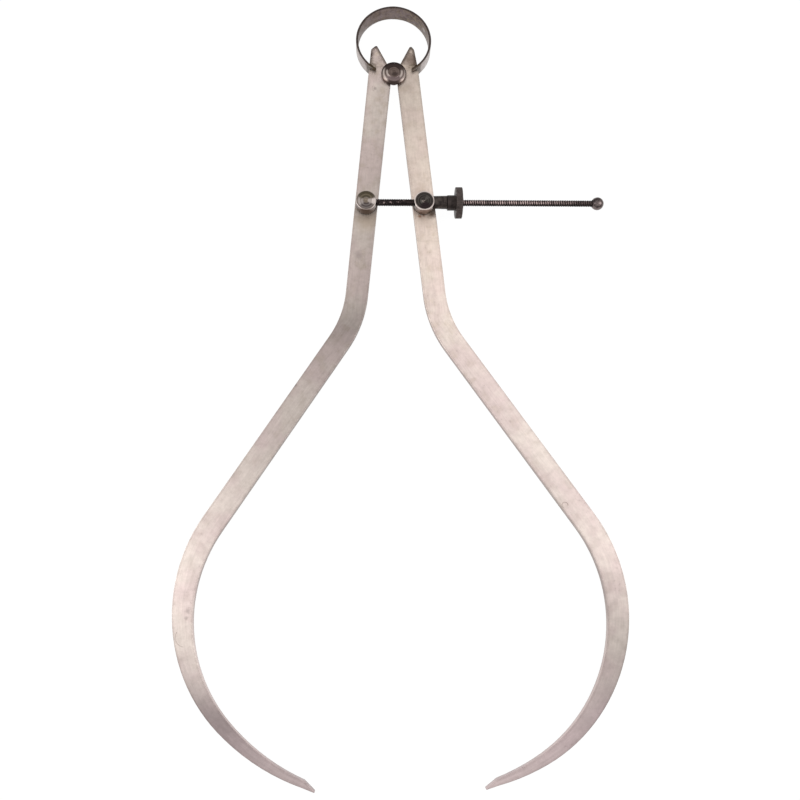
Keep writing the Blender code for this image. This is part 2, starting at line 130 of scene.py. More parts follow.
# Ball, sleeve and knurled nut
BALL_STEPS = 30
SLEEVE_TAPER = 0.15 * MM
SLEEVE_FLARE = 0.1 * MM
SLEEVE_CHAMFER = 0.06 * MM
SLEEVE_PLAY = 0.2 * MM  # how far it hangs off the screw's axis
NUT_SEAT_GAP = 0.08 * MM
NUT_HUB_LENGTH = 3.5 * MM
NUT_HUB_RADIUS = 3.3 * MM
NUT_HUB_CHAMFER = 0.1 * MM
NUT_HUB_FILLET = 0.15 * MM
NUT_DISC_THICKNESS = 2.9 * MM
NUT_DISC_CHAMFER = 0.14 * MM
NUT_FACE_MARGIN = 0.5 * MM  # over which the disc's faces fall off towards the rim
NUT_FACE_FALL = 0.05 * MM
NUT_BORE_CHAMFER = 0.3 * MM
NUT_BOSS_RADIUS = 2.75 * MM
NUT_BOSS_DRAFT = 0.1 * MM
KNURL_TEETH = 60
KNURL_DEPTH = 0.28 * MM
KNURL_SAMPLES = 4

# Bow spring
SPRING_MID_RADIUS = 16.75 * MM
SPRING_THICKNESS = 1.0 * MM
SPRING_END_WIDTH = 6.8 * MM
SPRING_END_TURN = math.pi - math.radians(29.5)  # from the middle of the bow
LEFT_SLOT_ANGLE = math.radians(38.28)
RIGHT_SLOT_ANGLE = math.radians(37.33)
SLOT_SECTIONS = 8
SPRING_STEP = math.radians(2.0)
SPRING_EDGE = 0.22 * MM
EDGE_POINTS = 4
PRONG_BEVEL = 0.1 * MM  # before the strip's end
PRONG_OVERHANG = 0.05 * MM  # past it
PRONG_END_SHARE = 0.75  # of the thickness, at the very end
PRONG_END_NARROWING = 0.3 * MM

# Centreline of the right leg, seen from the fulcrum axis; the left leg's is its mirror image
FULCRUM = mm(-1.52, 135.47, 0)
LEG_OFFSET = 6.35 * MM
SHANK_LEAN = math.radians(5.65)
SHANK_LENGTH = 105.4 * MM
BEND_RADIUS = 47.5 * MM
DIAGONAL_LENGTH = 91.4 * MM
TOE_RADIUS = 86.5 * MM
LEG_HALF_WIDTH = 4.8 * MM
BLEND_REACH = 4.0 * MM

# Finish of the legs; a reach is a (from, to) pair of places along the caliper
TOE_END = -169.0 * MM
EAR_END = 150.6 * MM
GRAIN_STRETCH = 22.0
GRAIN_SIZE = 7.0 * MM
STREAK_SIZE = 20.0 * MM
CLOUD_SIZE = 14.0 * MM
BLOTCH_SIZE = 4.5 * MM
MOTTLE_SIZE = 1.8 * MM
WAVE_DEPTH = 0.15 * MM
GRAIN_DEPTH = 0.02 * MM
EDGE_REACH = 1.8 * MM
EAR_EDGE_REACH = 2.6 * MM
WALL_FOOT = 0.3 * MM
WALL_FOOT_FADE = 0.9 * MM
TAN_REACH = mm(-90, 60)
WARM_REACH = mm(-20, 75)
MAUVE_REACH = mm(-115, -150)
SLOPE_REACH = mm(-130, -90)
EAR_REACH = mm(134, 140)
DARK_EAR_REACH = mm(135, 143)
WALL_REACH = mm(-164, -152)
WALL_TONE_REACH = mm(-120, -90)

# Finish of the spring, seen from the middle of its ring
SPRING_CLOUD_SIZE = 4.5 * MM
SPRING_BLOTCH_SIZE = 1.6 * MM
SPRING_FINE_SIZE = 0.5 * MM
SPRING_RELIEF = 0.03 * MM
SPRING_TAN_REACH = mm(-2, 10)
SPRING_FLECK = mm(14.2, 8.0, 0)
SPRING_FLECK_REACH = mm(1.6, 0.4)
PRONG_REACH = mm(-11.4, -12.6)

# Finish of the turned pieces
PATCH_SIZE = 2.4 * MM
FINE_SIZE = 0.4 * MM
TURNED_RELIEF = 0.02 * MM
ZONE_SOFTNESS = 0.15 * MM
FAN_SOFTNESS = 0.35 * MM
STUD_RING = 0.5 * MM  # and of the ball
POST_RING = 0.35 * MM
WASHER_RING = 0.55 * MM
DARK_RING = 0.6 * MM  # of the screw, the sleeve and the nut
STUD_RIM_BELOW = 0.1 * MM
STUD_RIM_ABOVE = 0.3 * MM
POST_FACE_DEPTH = 0.55 * MM
RIGHT_RIM_DEPTH = 0.6 * MM
# Heights above the legs' front of the painted shade on the posts' lower walls and of the painted contact
# shadow at their foot
LEFT_BAND_HEIGHT = 2.2 * MM  # above the legs' front
LEFT_FOOT_HEIGHT = 0.7 * MM
RIGHT_BAND_HEIGHT = 2.4 * MM
RIGHT_FOOT_HEIGHT = 0.9 * MM

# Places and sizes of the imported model
LEG_BACK, LEG_FRONT = (corner.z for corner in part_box("left_leg"))
STUD_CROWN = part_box("fulcrum_stud")[1].z - STUD_DOME_HEIGHT
POST_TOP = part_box("left_post")[1].z + POST_LIFT
POST_FACE = POST_TOP - POST_FACE_DEPTH
SCREW_LOW, SCREW_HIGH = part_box("adjusting_screw")
SCREW_CENTRE = (SCREW_LOW + SCREW_HIGH) / 2
SCREW_RADIUS = (SCREW_HIGH.z - SCREW_LOW.z) / 2
SCREW_BORE_RADIUS = SCREW_RADIUS + BORE_GAP
SPRING_LOW, SPRING_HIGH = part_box("bow_spring")
SPRING_WIDTH = SPRING_HIGH.z - SPRING_LOW.z
SPRING_CENTRE = (SPRING_LOW + SPRING_HIGH) / 2
SPRING_CENTRE.y = SPRING_HIGH.y - SPRING_MID_RADIUS - SPRING_THICKNESS / 2

# Colours
LEG_PALE = srgb(240, 226, 217)
LEG_ROSY = srgb(232, 213, 208)
LEG_TAN = srgb(222, 205, 188)
LEG_FLECK = srgb(120, 100, 92)
# used for painted shade along the legs' edges, and for the walls' colour and their dark foot
LEG_EDGE = srgb(128, 112, 108)
LEG_WARM = srgb(238, 219, 198)
LEG_MAUVE = srgb(236, 214, 215)
# painted shade on the ears' edges and tips
EAR_EDGE = srgb(66, 55, 48)
EAR_DUN = srgb(150, 136, 122)
EAR_BROWN = srgb(118, 100, 88)
RUST = srgb(142, 96, 66)
OLIVE = srgb(96, 86, 62)
BROWN_STAIN = srgb(128, 98, 76)
GREY_STAIN = srgb(120, 108, 106)
TAN_STAIN = srgb(176, 158, 138)
# painted shadow of the right post on the right leg
RIGHT_POST_SHADOW = srgb(96, 78, 66)
SPRING_MAUVE = srgb(124, 109, 108)
SPRING_BROWN = srgb(102, 87, 82)
SPRING_OLIVE = srgb(128, 114, 98)
SPRING_RUBBED = srgb(191, 182, 178)
SPRING_RIM = srgb(62, 52, 48)
PRONG_BROWN = srgb(72, 60, 44)
STUD_GREY = srgb(116, 102, 96)
STUD_BROWN = srgb(96, 82, 76)
# also used for painted shade on the stud's head and for painted contact shadows at the posts' feet
STUD_DARK = srgb(60, 49, 47)
STUD_RIM = srgb(54, 44, 42)
# painted highlight on the stud's domed head
STUD_HIGHLIGHT = srgb(206, 192, 184)
STUD_WALL = srgb(150, 132, 124)
STUD_MAUVE = srgb(126, 110, 110)
# used for painted highlights on the posts' chamfers and on the left post's face
POST_BRIGHT = srgb(222, 210, 204)
POST_GREY = srgb(138, 126, 118)
POST_DULL = srgb(104, 92, 84)
POST_OLIVE = srgb(72, 65, 50)
POST_WALL = srgb(120, 106, 100)
POST_BLACK = srgb(50, 46, 44)
POST_SOOT = srgb(100, 95, 90)
POST_ROSY = srgb(160, 144, 138)
POST_TAN = srgb(150, 136, 116)
POST_SLATE = srgb(70, 62, 62)
POST_PLUM = srgb(48, 37, 40)
SCREW_DARK = srgb(48, 40, 40)
SCREW_BLACK = srgb(34, 29, 29)
# painted highlight on the screw's crests
SCREW_CREST = srgb(186, 164, 160)
SLEEVE_BROWN = srgb(84, 76, 72)
SLEEVE_DARK = srgb(52, 46, 45)
NUT_BROWN = srgb(82, 72, 69)
NUT_DARK = srgb(58, 51, 49)
NUT_CREST = srgb(104, 95, 92)
BALL_BRIGHT = srgb(122, 110, 108)
BALL_DARK = srgb(70, 62, 62)

# Studio
FLOOR_REACH = 3.0
FLOOR_HEIGHT = -0.05 * MM
FLOOR_PAPER = (0.92, 0.92, 0.92, 1.0)
FLOOR_ROUGHNESS = 0.9
FLOOR_GLOW = 1.07
FLOOR_GLOW_SHARE = 0.9
DOME_LOW = 0.1
DOME_HIGH = 0.7
HORIZON_TONE = 0.35
DOME_STRENGTH = 0.6
SOFTBOX_PLACES = {"right_softbox": (0.45, 0.0, 0.42), "left_softbox": (-0.45, 0.05, 0.42)}
SOFTBOX_WIDTH = 0.3
SOFTBOX_HEIGHT = 0.5
SOFTBOX_POWER = 0.8
SENSOR_WIDTH = 36
CAMERA_LENS = 38.25
CAMERA_CLIP = (0.01, 20.0)
CAMERA_BACK = (-0.0349, -0.2078, 0.9776)
CAMERA_ROLL = math.radians(0.5486)
CAMERA_PLACE = mm(-12.59, -90.31, 354.05)

# Zones: inner and outer share of the radius, low and high place along the axis, colour, strength
STUD_ZONES = (
    (0.9, FAR, -FAR, FAR, STUD_WALL, 0.8),
    # painted shade along the rim of the head
    (0.96, FAR, STUD_CROWN - STUD_RIM_BELOW, STUD_CROWN + STUD_RIM_ABOVE, STUD_RIM, 0.6),
    (0.5, 0.56, LEG_FRONT, FAR, STUD_DARK, 0.35),
)
LEFT_POST_ZONES = (
    (0.951, FAR, LEG_FRONT, POST_TOP, POST_WALL, 0.7),
    # painted highlight round the chamfer
    (0.928, FAR, POST_FACE, FAR, POST_BRIGHT, 0.55),
    (-FAR, 0.25, POST_FACE, FAR, POST_TAN, 0.4),
    # painted shade on the lower wall, and a painted contact shadow at its foot
    (0.951, FAR, -FAR, LEG_FRONT + LEFT_BAND_HEIGHT, POST_DULL, 0.7),
    (0.951, FAR, -FAR, LEG_FRONT + LEFT_FOOT_HEIGHT, STUD_DARK, 0.8),
)
RIGHT_POST_ZONES = (
    (-FAR, 0.874, POST_FACE, FAR, POST_BLACK, 0.96),
    (0.36, 0.42, POST_FACE, FAR, POST_SOOT, 0.6),
    (0.58, 0.64, POST_FACE, FAR, POST_SOOT, 0.6),
    (0.76, 0.8, POST_FACE, FAR, POST_SOOT, 0.4),
    (-FAR, 0.067, POST_FACE, FAR, POST_GREY, 0.7),
    # painted highlight round the chamfer
    (0.897, FAR, POST_TOP - RIGHT_RIM_DEPTH, FAR, POST_BRIGHT, 0.8),
    # painted shade on the lower wall, and a painted contact shadow at its foot
    (0.951, FAR, -FAR, LEG_FRONT + RIGHT_BAND_HEIGHT, POST_DULL, 0.5),
    (0.951, FAR, -FAR, LEG_FRONT + RIGHT_FOOT_HEIGHT, STUD_DARK, 0.8),
)
NUT_ZONES = (
    (0.982, FAR, -FAR, FAR, NUT_CREST, 0.6),
    (-FAR, 0.515, -FAR, NUT_HUB_LENGTH, SCREW_BLACK, 0.45),
)

# Fans: inner and outer share of the radius, heading and spread in degrees, colour, strength
# The stud's head carries a painted reflection of a polished dome: painted shade over its upper half and at
# the bottom of its rim, and painted highlights in crescents to the left and right; below the middle there are
# also a mauve band and a dark spot
STUD_FANS = (
    (0.45, 1.2, 95, 118, STUD_DARK, 0.95),
    (0.45, 0.8, -92, 80, STUD_MAUVE, 0.7),
    (0.78, 1.2, -92, 48, STUD_RIM, 0.9),
    (0.08, 0.36, -70, 75, STUD_DARK, 0.75),
    (0.48, 0.62, 192, 40, STUD_HIGHLIGHT, 0.75),
    (0.76, 0.9, 192, 50, STUD_HIGHLIGHT, 0.8),
    (0.56, 0.7, -14, 38, STUD_HIGHLIGHT, 0.8),
    (0.84, 0.94, -14, 46, STUD_HIGHLIGHT, 0.7),
)
# The left post's face carries a painted reflection of its turned face: painted shade in an olive arc above
# and a slate fan below, and painted highlights in sectors to the right and left
LEFT_POST_FANS = (
    (0.34, 0.98, 88, 105, POST_OLIVE, 0.88),
    (0.56, 0.66, 88, 90, POST_TAN, 0.45),
    (0.3, 0.86, -90, 100, POST_SLATE, 0.9),
    (0.46, 0.54, -90, 110, POST_BRIGHT, 0.3),
    (0.72, 0.8, -90, 110, POST_BRIGHT, 0.3),
    (0.16, 0.5, -6, 44, POST_BRIGHT, 0.5),
    (0.55, 0.94, -6, 30, POST_BRIGHT, 0.95),
    (0.3, 0.5, 190, 50, POST_BRIGHT, 0.4),
    (0.58, 0.82, 190, 42, POST_BRIGHT, 0.5),
    (0.92, 1.2, -90, 42, POST_WALL, 0.6),
)
RIGHT_POST_FANS = (
    (0.1, 0.4, 200, 50, POST_SOOT, 0.9),
    (0.1, 0.2, 215, 60, POST_ROSY, 0.9),
    (0.1, 0.6, 50, 28, POST_SOOT, 0.6),
    (0.2, 0.85, -80, 70, POST_PLUM, 0.85),
    (0.951, 1.225, -40, 40, POST_WALL, 0.5),
)


class LegLook(NamedTuple):
    """How one leg runs, how its steel has aged and where light and shade are painted on it; places are in the
    frame.
    """

    side: int
    diagonal_lean: float
    bow_radius: float
    toe_start_lean: float
    warmth: float
    # the tones along the leg are partly patina and partly painted light and shade
    tones: tuple  # (place along the leg in millimetres, tone)
    # the stains here include painted shade at the ears' edges and a painted shadow beside the right post
    stains_and_shade: tuple  # (x, y, radius, strength, colour)
    marks: tuple  # (x, y, radius, width, heading and spread in degrees, strength)


LEFT_LOOK = LegLook(
    side=-1,
    diagonal_lean=math.radians(33.6),
    bow_radius=62.7 * MM,
    toe_start_lean=math.radians(-43.3),
    warmth=0.1,
    tones=(
        (150, 0.72), (104, 0.68), (65, 0.55), (32, 0.64), (18, 0.30), (6, 0.52), (-20, 0.57), (-50, 0.64),
        (-95, 1.0), (-114, 0.80), (-127, 0.74), (-141, 0.28), (-152, 0.50), (-168, 0.62),
    ),
    stains_and_shade=(
        (*mm(-11.6, 139.2, 3.0), 0.85, OLIVE),
        (*mm(-8.2, 141.5, 5.0), 0.2, EAR_DUN),
        (*mm(-10.8, 146.8, 4.0), 0.15, BROWN_STAIN),
        # painted shade on the ears' edges and tips
        (*mm(-9.6, 150.2, 2.2), 0.8, EAR_EDGE),
        (*mm(-12.1, 145.4, 1.5), 0.85, EAR_EDGE),
        (*mm(-14.0, 63.5, 7.5), 0.6, TAN_STAIN),
        (*mm(-10.1, 128.4, 1.2), 0.55, GREY_STAIN),
        (*mm(-17.5, 48.0, 3.0), 0.35, GREY_STAIN),
        (*mm(-84.9, -101.3, 1.6), 0.45, GREY_STAIN),
        (*mm(-85.3, -104.0, 1.1), 0.4, GREY_STAIN),
        (*mm(-36.6, -165.2, 1.5), 0.6, GREY_STAIN),
        (*mm(-44.3, -9.6, 1.3), 0.8, GREY_STAIN),
        (*mm(-52.0, -21.0, 1.2), 0.7, GREY_STAIN),
    ),
    marks=(
        (*mm(-85.5, -111.2, 3.8, 0.45), 205, 62, 0.55),
        (*mm(-9.8, 128.6, 1.6, 0.5), 190, 60, 0.4),
    ),
)
RIGHT_LOOK = LegLook(
    side=1,
    diagonal_lean=math.radians(34.7),
    bow_radius=63.8 * MM,
    toe_start_lean=math.radians(-60.0),
    warmth=0.4,
    tones=(
        (150, 0.60), (125, 0.68), (100, 0.86), (68, 0.88), (45, 1.0), (0, 0.90), (-40, 0.84), (-62, 0.78),
        (-82, 0.82), (-98, 0.62), (-120, 0.50), (-136, 0.44), (-165, 0.70),
    ),
    stains_and_shade=(
        (*mm(7.6, 139.8, 3.6), 0.9, OLIVE),
        (*mm(6.6, 143.5, 6.5), 0.8, EAR_BROWN),
        # painted shade on the ears' edges and tips
        (*mm(6.8, 150.2, 2.6), 0.8, EAR_EDGE),
        (*mm(8.9, 143.0, 2.4), 0.6, EAR_EDGE),
        (*mm(9.4, 66.3, 1.3), 0.85, RUST),
        (*mm(11.1, 66.6, 1.1), 0.7, RUST),
        # painted shadow of the right post
        (*mm(14.6, 67.3, 3.0), 0.95, RIGHT_POST_SHADOW),
        (*mm(12.0, 64.5, 6.0), 0.3, TAN_STAIN),
        (*mm(9.0, 76.5, 5.0), 0.2, BROWN_STAIN),
    ),
    marks=(
        (*mm(13.5, -5.2, 60.0, 0.3), 90, 5, 0.3),
        (*mm(67.3, -60.6, 1.2, 0.5), 120, 150, 0.6),
    ),
)


# Finishes


class Graph:
    """A tree of shader nodes; the methods add nodes and give back their output sockets."""

    def __init__(self, tree):
        self.nodes = tree.nodes
        self.links = tree.links

    def feed(self, socket, value):
        if isinstance(value, bpy.types.NodeSocket):
            self.links.new(value, socket)
        else:
            socket.default_value = value

    def math(self, operation, first, second=0.0, third=0.0):
        node = self.nodes.new("ShaderNodeMath")
        node.operation = operation
        for socket, value in zip(node.inputs, (first, second, third)):
            self.feed(socket, value)
        return node.outputs[0]

    def times(self, product, *factors):
        for factor in factors:
            product = self.math("MULTIPLY", product, factor)
        return product

    def vector_math(self, operation, first, second=(0, 0, 0)):
        node = self.nodes.new("ShaderNodeVectorMath")
        node.operation = operation
        self.feed(node.inputs[0], first)
        self.feed(node.inputs[1], second)
        return node.outputs["Value" if operation in ("LENGTH", "DISTANCE", "DOT_PRODUCT") else "Vector"]

    def split(self, vector):
        node = self.nodes.new("ShaderNodeSeparateXYZ")
        self.feed(node.inputs[0], vector)
        return tuple(node.outputs)

    def join(self, x, y, z):
        node = self.nodes.new("ShaderNodeCombineXYZ")
        for socket, value in zip(node.inputs, (x, y, z)):
            self.feed(socket, value)
        return node.outputs[0]

    def ramp(self, value, low, high, to_low=0.0, to_high=1.0):
        """The value carried smoothly from one range to another, and held at its ends."""
        node = self.nodes.new("ShaderNodeMapRange")
        node.interpolation_type = "SMOOTHSTEP"
        for index, item in enumerate((value, low, high, to_low, to_high)):
            self.feed(node.inputs[index], item)
        return node.outputs[0]

    def seen_directly(self):
        """1 for camera, glossy and transmission rays, and 0 for the rays that light diffuse surfaces."""
        path = self.nodes.new("ShaderNodeLightPath").outputs
        either = self.math("MAXIMUM", path["Is Camera Ray"], path["Is Glossy Ray"])
        return self.math("MAXIMUM", either, path["Is Transmission Ray"])


class Finish(Graph):
    """One material, built round a Principled shader."""

    def __init__(self, name, metallic=1.0):
        self.material = bpy.data.materials.new(name)
        self.material.use_nodes = True
        super().__init__(self.material.node_tree)
        self.set("Metallic", metallic)
        self.spot = self.nodes.new("ShaderNodeTexCoord").outputs["Object"]

    def set(self, name, value):
        self.feed(self.nodes["Principled BSDF"].inputs[name], value)

    def noise(self, feature, detail=3.0, rough=0.55, vector=None):
        """Noise from 0 to 1 whose features are about as large as the given length."""
        node = self.nodes.new("ShaderNodeTexNoise")
        self.feed(node.inputs["Vector"], self.spot if vector is None else vector)
        self.feed(node.inputs["Scale"], 1 / feature)
        self.feed(node.inputs["Detail"], detail)
        self.feed(node.inputs["Roughness"], rough)
        return node.outputs[0]

    def mix(self, share, first, second, blend="MIX"):
        node = self.nodes.new("ShaderNodeMix")
        node.data_type = "RGBA"
        node.blend_type = blend
        self.feed(node.inputs[0], share)
        self.feed(node.inputs[6], first)
        self.feed(node.inputs[7], second)
        return node.outputs[2]

    def shade(self, colour, tone):
        return self.mix(1.0, colour, self.join(tone, tone, tone), blend="MULTIPLY")

    def tones(self, place, stops):
        """A grey that follows the place along the leg through (place, tone) stops."""
        node = self.nodes.new("ShaderNodeValToRGB")
        ramp = node.color_ramp
        ramp.interpolation = "B_SPLINE"
        while len(ramp.elements) < len(stops):
            ramp.elements.new(0.5)
        length = EAR_END - TOE_END
        for element, (stop, tone) in zip(ramp.elements, sorted(stops)):
            element.position = (stop * MM - TOE_END) / length
            element.color = (tone, tone, tone, 1.0)
        self.feed(node.inputs[0], self.times(self.math("SUBTRACT", place, TOE_END), 1 / length))
        return node.outputs[0]

    def bump(self, height, distance, strength, normal=None):
        node = self.nodes.new("ShaderNodeBump")
        self.feed(node.inputs["Height"], height)
        self.feed(node.inputs["Distance"], distance)
        self.feed(node.inputs["Strength"], strength)
        if normal is not None:
            self.feed(node.inputs["Normal"], normal)
        return node.outputs[0]

    def facing(self):
        return self.nodes.new("ShaderNodeNewGeometry").outputs["Normal"]

    def edges(self, reach, full=0.93):
        """1 along the piece's edges, within about the given reach of them, and 0 on its faces."""
        node = self.nodes.new("ShaderNodeBevel")
        node.samples = 6
        self.feed(node.inputs["Radius"], reach)
        return self.ramp(self.vector_math("DOT_PRODUCT", node.outputs[0], self.facing()), 0.999, full)

    def flat_way(self, x, y):
        """The way to the spot from a place in the XY plane, seen along Z, and its length."""
        flat = self.vector_math("MULTIPLY", self.spot, (1, 1, 0))
        way = self.vector_math("SUBTRACT", flat, (x, y, 0))
        return way, self.vector_math("LENGTH", way)

    def towards(self, way, away, heading, spread, full_spread):
        """1 where a way, with its length, is near a heading in degrees, and 0 past the spread from it."""
        direction = outward(math.radians(heading))
        turned_to = self.math("DIVIDE", self.vector_math("DOT_PRODUCT", way, direction), away)
        return self.ramp(turned_to, math.cos(math.radians(spread)), math.cos(math.radians(full_spread)))

    def near(self, x, y, radius, noise):
        """A soft blotch round a place in the XY plane, with an uneven edge."""
        uneven = self.math("MULTIPLY_ADD", noise, radius, radius / 2)
        return self.math("SUBTRACT", 1.0, self.ramp(self.flat_way(x, y)[1], 0.0, uneven))

    def arc(self, x, y, radius, width, heading, spread):
        """A thin curved line in the XY plane, about a centre and to both sides of a heading."""
        way, away = self.flat_way(x, y)
        line = self.ramp(self.math("ABSOLUTE", self.math("SUBTRACT", away, radius)), width / 2, width / 5)
        return self.times(line, self.towards(way, away, heading, spread, spread * 0.8))


def along(heading):
    """Direction of travel for a heading measured from -Y, positive away from the other leg."""
    return Vector((math.sin(heading), -math.cos(heading), 0))


def outward(heading):
    """Direction square to the travel, towards the leg's outer edge: the heading measured from +X."""
    return Vector((math.cos(heading), math.sin(heading), 0))


class LegFinish(Finish):
    """Ground steel dulled by handling: toned along and across, partly with painted light and shade, mottled
    and stained, with painted shade along its edges.
    """

    def __init__(self, name, look):
        super().__init__(name, metallic=0.92)
        self.look = look
        _, self.y, self.z = self.split(self.spot)
        self.across = self.from_centreline()
        thin = self.times(self.z, GRAIN_STRETCH)
        stretched = self.join(self.times(self.across, GRAIN_STRETCH), self.y, thin)
        self.grain = self.noise(GRAIN_SIZE, detail=4.0, rough=0.7, vector=stretched)
        self.streak = self.noise(STREAK_SIZE, rough=0.6, vector=stretched)
        self.cloud = self.noise(CLOUD_SIZE, rough=0.5)
        self.blotch = self.noise(BLOTCH_SIZE, detail=4.0, rough=0.6)
        self.mottle = self.noise(MOTTLE_SIZE, rough=0.7)
        self.upright = self.math("ABSOLUTE", self.split(self.facing())[2])

        colour = self.shade(self.steel(), self.tone())
        colour = self.walls(self.edge_shade_and_ear_mottle(self.stains_and_shade(colour)))
        self.set("Base Color", colour)
        self.set("Roughness", self.ramp(self.math("ADD", self.blotch, self.grain), 0.6, 1.4, 0.38, 0.52))
        waves = self.bump(self.cloud, WAVE_DEPTH, 0.4)
        self.set("Normal", self.bump(self.grain, GRAIN_DEPTH, 0.15, normal=waves))

    def from_centreline(self):
        """How far a spot lies outside the centreline, whose straights and arcs blend where they meet."""
        look = self.look
        shank_end = Vector((LEG_OFFSET, 0, 0)) + along(SHANK_LEAN) * SHANK_LENGTH
        bend_centre = shank_end + outward(SHANK_LEAN) * BEND_RADIUS
        diagonal_start = bend_centre - outward(look.diagonal_lean) * BEND_RADIUS
        bow_start = diagonal_start + along(look.diagonal_lean) * DIAGONAL_LENGTH
        bow_centre = bow_start - outward(look.diagonal_lean) * look.bow_radius
        toe_start = bow_centre + outward(look.toe_start_lean) * look.bow_radius
        toe_centre = toe_start - outward(look.toe_start_lean) * TOE_RADIUS

        place = self.vector_math("SUBTRACT", self.spot, FULCRUM)
        place = self.vector_math("MULTIPLY", place, (look.side, 1, 0))
        height = self.split(place)[1]

        def from_line(start, heading):
            reach = self.vector_math("DOT_PRODUCT", place, outward(heading))
            return self.math("SUBTRACT", reach, start.dot(outward(heading)))

        def from_arc(centre, radius):
            return self.math("SUBTRACT", self.vector_math("DISTANCE", place, centre), radius)

        distance = from_line(shank_end, SHANK_LEAN)
        for level, following in (
            ((shank_end.y + diagonal_start.y) / 2, from_line(diagonal_start, look.diagonal_lean)),
            (bow_start.y, from_arc(bow_centre, look.bow_radius)),
            (toe_start.y, from_arc(toe_centre, TOE_RADIUS)),
        ):
            below = self.ramp(height, level + BLEND_REACH, level - BLEND_REACH)
            distance = self.math("MULTIPLY_ADD", below, self.math("SUBTRACT", following, distance), distance)
        return distance

    def steel(self):
        """Pale steel with rosy and tan clouds, warmer up the shank and mauve at the toe."""
        colour = self.mix(self.ramp(self.cloud, 0.36, 0.64), LEG_PALE, LEG_ROSY)
        tan = self.ramp(self.blotch, 0.50, 0.70, to_high=0.5)
        colour = self.mix(self.times(tan, self.ramp(self.y, *TAN_REACH, 0.2)), colour, LEG_TAN)
        colour = self.mix(self.ramp(self.y, *WARM_REACH, to_high=self.look.warmth), colour, LEG_WARM)
        return self.mix(self.ramp(self.y, *MAUVE_REACH, to_high=0.75), colour, LEG_MAUVE)

    def tone(self):
        """How light the steel is along and across the leg, partly its patina and partly painted light and
        shade, with mottling, grain and streaks.
        """
        slope = self.ramp(self.y, *SLOPE_REACH, -0.10, 0.05)
        return self.times(
            self.tones(self.y, self.look.tones),
            self.math("MULTIPLY_ADD", self.times(self.across, 1 / LEG_HALF_WIDTH), slope, 1.0),
            self.ramp(self.blotch, 0.30, 0.70, 1.04, 0.94),
            self.ramp(self.mottle, 0.25, 0.75, 1.05, 0.95),
            self.ramp(self.grain, 0.30, 0.70, 0.94, 1.05),
            self.ramp(self.streak, 0.32, 0.68, 0.965, 1.03),
        )

    def stains_and_shade(self, colour):
        """Stains, among them painted shade at the ears' edges and a painted shadow, thin curved marks and
        specks.
        """
        for x, y, radius, strength, stain in self.look.stains_and_shade:
            colour = self.mix(self.times(self.near(x, y, radius, self.mottle), strength), colour, stain)
        for x, y, radius, width, heading, spread, strength in self.look.marks:
            line = self.arc(x, y, radius, width, heading, spread)
            broken = self.ramp(self.mottle, 0.35, 0.6, strength, strength / 3)
            colour = self.mix(self.times(line, broken), colour, LEG_FLECK)
        specks = self.ramp(self.mottle, 0.62, 0.74)
        return self.mix(self.times(specks, self.ramp(self.cloud, 0.45, 0.62, 0.06, 0.28)), colour, LEG_FLECK)

    def edge_shade_and_ear_mottle(self, colour):
        """Painted shade along the rounded edges, and ears that are mottled, with painted shade making them
        nearly black along their edges.
        """
        front = self.ramp(self.upright, 0.3, 0.9)
        # painted shade along the rounded edges of the front face
        edge = self.times(self.edges(EDGE_REACH), front, self.ramp(self.mottle, 0.3, 0.6, 0.6), 0.3)
        colour = self.mix(edge, colour, LEG_EDGE)
        ear = self.ramp(self.y, *EAR_REACH)
        colour = self.mix(self.times(ear, self.ramp(self.mottle, 0.46, 0.62, to_high=0.3)), colour, EAR_BROWN)
        colour = self.mix(self.times(ear, self.ramp(self.blotch, 0.5, 0.62, to_high=0.4)), colour, LEG_TAN)
        # painted shade, nearly black, along the ears' edges
        dark_ear = self.ramp(self.y, *DARK_EAR_REACH, to_high=0.9)
        return self.mix(self.times(self.edges(EAR_EDGE_REACH, 0.97), dark_ear, front), colour, EAR_EDGE)

    def walls(self, colour):
        """Duller walls, rosy towards the toe and dark at their foot."""
        wall = self.ramp(self.upright, 0.5, 0.2)
        wall_colour = self.mix(self.ramp(self.y, *WALL_TONE_REACH), LEG_ROSY, LEG_EDGE)
        dull = self.times(wall, self.ramp(self.y, *WALL_REACH, to_high=0.5))
        colour = self.mix(dull, colour, wall_colour)
        foot = self.ramp(self.z, LEG_BACK + WALL_FOOT_FADE, LEG_BACK + WALL_FOOT, to_high=0.75)
        return self.mix(self.times(wall, foot), colour, LEG_EDGE)


